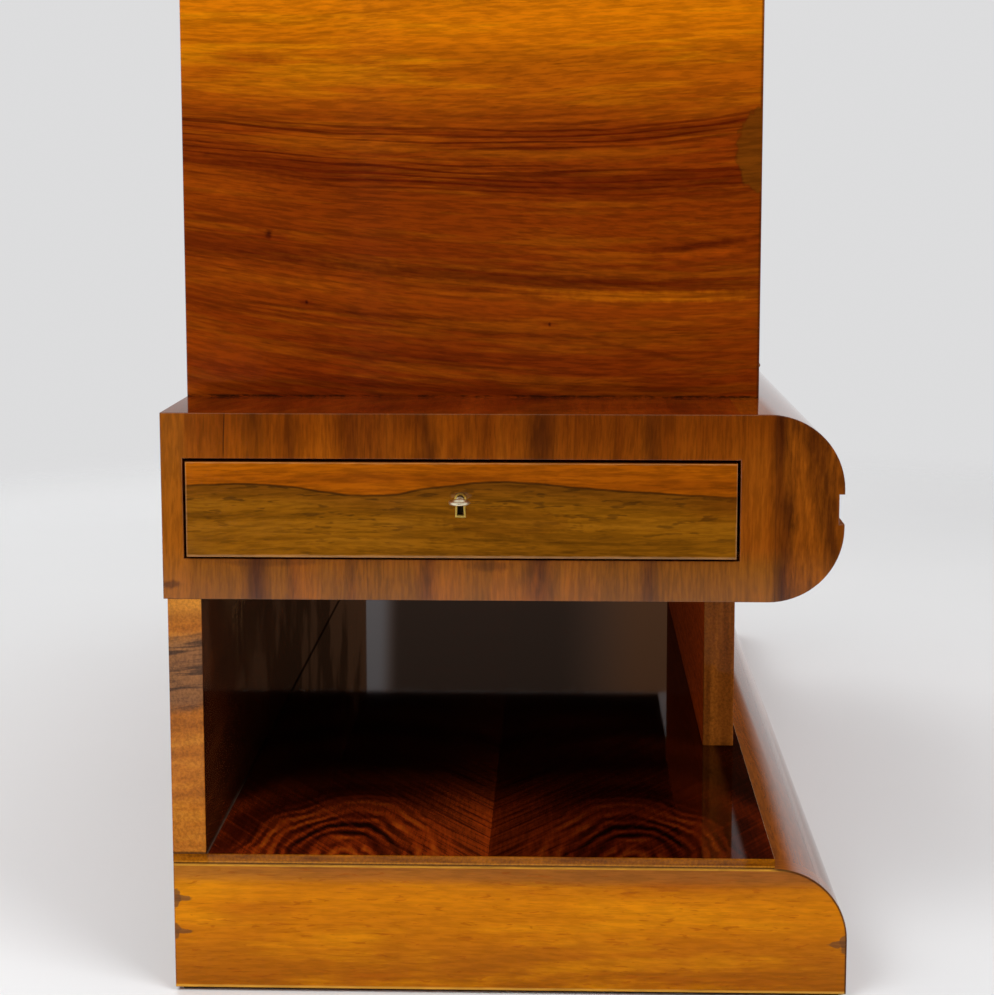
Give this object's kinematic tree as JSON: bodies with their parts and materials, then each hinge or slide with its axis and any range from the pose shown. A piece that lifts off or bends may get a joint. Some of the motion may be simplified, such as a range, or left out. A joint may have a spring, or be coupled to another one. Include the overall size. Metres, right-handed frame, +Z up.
{
  "type": "bar cabinet",
  "caption": "Long bar cabinet in glossy walnut veneer: rounded plinth, open shelf, drawer case with end drawers, bar body with falling flap, mirror and glass shelf.",
  "frame": {"origin": "bottom centre of the bounding box, on the floor", "axes": "+X along the length to the right as seen from the front, front faces -Y, +Z up"},
  "size_m": [1.1586, 0.508, 0.91],
  "materials": {
    "veneer": "walnut veneer under glossy lacquer",
    "crossband": "crossbanded walnut veneer under glossy lacquer",
    "figured_veneer": "figured walnut leaves under glossy lacquer",
    "drawer_veneer": "two-tone walnut veneer under glossy lacquer",
    "solid_wood": "plain hardwood, waxed",
    "plywood": "stained plywood",
    "mirror": "silvered glass",
    "glass": "clear plate glass",
    "brass": "polished brass, slightly worn",
    "steel": "bright steel"
  },
  "bodies": {
    "case": {"bar_side_left": "veneer", "bar_side_right": "veneer", "bar_top": "veneer", "bar_floor": "veneer", "case_nose": "veneer", "case_roof": "veneer", "case_floor": "veneer", "case_back": "veneer", "tier_back": "veneer", "tier_front": "veneer", "plinth_front": "veneer", "plinth_end_left": "veneer", "plinth_end_right": "veneer", "case_facing_left": "crossband", "case_facing_right": "crossband", "shelf_board": "figured_veneer", "plinth_back": "solid_wood", "plinth_braces": "solid_wood", "corner_blocks": "solid_wood", "foot_strips": "solid_wood", "case_bulkheads": "solid_wood", "drawer_runners": "solid_wood", "drawer_stops": "solid_wood", "mirror_beads": "solid_wood", "flap_stop": "solid_wood", "bar_back": "plywood", "mirror_glass": "mirror", "glass_shelf": "glass", "shelf_pins": "brass", "hinge_leaf_case": "brass", "stay_studs": "brass", "hinge_pin": "steel"},
    "flap": {"flap_panel": "veneer", "hinge_leaf_flap": "brass", "stay_brackets": "brass", "flap_lock": "steel", "flap_escutcheon": "brass"},
    "stay_left": {"stay_bar_left": "brass"},
    "stay_right": {"stay_bar_right": "brass"},
    "key_flap": {"flap_key": "steel"},
    "bolt_flap": {"flap_bolt": "steel"},
    "drawer_left": {"drawer_front_left": "drawer_veneer", "drawer_sides_left": "solid_wood", "drawer_back_left": "solid_wood", "drawer_bottom_left": "plywood", "drawer_lock_left": "steel", "drawer_escutcheon_left": "brass"},
    "key_left": {"drawer_key_left": "steel"},
    "bolt_left": {"drawer_bolt_left": "steel"},
    "drawer_right": {"drawer_front_right": "drawer_veneer", "drawer_sides_right": "solid_wood", "drawer_back_right": "solid_wood", "drawer_bottom_right": "plywood", "drawer_lock_right": "steel", "drawer_escutcheon_right": "brass"},
    "key_right": {"drawer_key_right": "steel"},
    "bolt_right": {"drawer_bolt_right": "steel"}
  },
  "joints": [
    {"name": "flap_fall", "type": "hinge", "parent": "case", "child": "flap", "pos_m": [0, -0.194, 0.46425], "axis": [1, 0, 0], "range_deg": [0, 90]},
    {"name": "stay_left_swing", "type": "hinge", "parent": "flap", "child": "stay_left", "pos_m": [-0.42825, -0.162, 0.64646], "axis": [1, 0, 0], "range_deg": [-45, 0]},
    {"name": "stay_right_swing", "type": "hinge", "parent": "flap", "child": "stay_right", "pos_m": [0.42825, -0.162, 0.64646], "axis": [1, 0, 0], "range_deg": [-45, 0]},
    {"name": "drawer_left_slide", "type": "slide", "parent": "case", "child": "drawer_left", "axis": [-1, 0, 0], "range_m": [0, 0.3]},
    {"name": "key_left_turn", "type": "hinge", "parent": "drawer_left", "child": "key_left", "pos_m": [-0.557, 0.034, 0.3787], "axis": [-1, 0, 0], "range_deg": [0, 180]},
    {"name": "bolt_left_throw", "type": "slide", "parent": "drawer_left", "child": "bolt_left", "axis": [0, 0, 1], "range_m": [0, 0.007]},
    {"name": "drawer_right_slide", "type": "slide", "parent": "case", "child": "drawer_right", "axis": [1, 0, 0], "range_m": [0, 0.3]},
    {"name": "key_right_turn", "type": "hinge", "parent": "drawer_right", "child": "key_right", "pos_m": [0.557, 0.034, 0.3787], "axis": [-1, 0, 0], "range_deg": [0, 180]},
    {"name": "bolt_right_throw", "type": "slide", "parent": "drawer_right", "child": "bolt_right", "axis": [0, 0, 1], "range_m": [0, 0.007]},
    {"name": "key_flap_turn", "type": "hinge", "parent": "flap", "child": "key_flap", "pos_m": [0, -0.195, 0.8535], "axis": [0, -1, 0], "range_deg": [0, 180]},
    {"name": "bolt_flap_throw", "type": "slide", "parent": "flap", "child": "bolt_flap", "axis": [0, 0, 1], "range_m": [0, 0.007]}
  ],
  "couplings": [
    {"joint": "stay_left_swing", "follows": "flap_fall", "ratio": -0.5},
    {"joint": "stay_right_swing", "follows": "flap_fall", "ratio": -0.5},
    {"joint": "key_left_turn", "follows": "bolt_left_throw", "rad_per_m": 448.8},
    {"joint": "key_right_turn", "follows": "bolt_right_throw", "rad_per_m": 448.8},
    {"joint": "key_flap_turn", "follows": "bolt_flap_throw", "rad_per_m": 448.8}
  ]
}
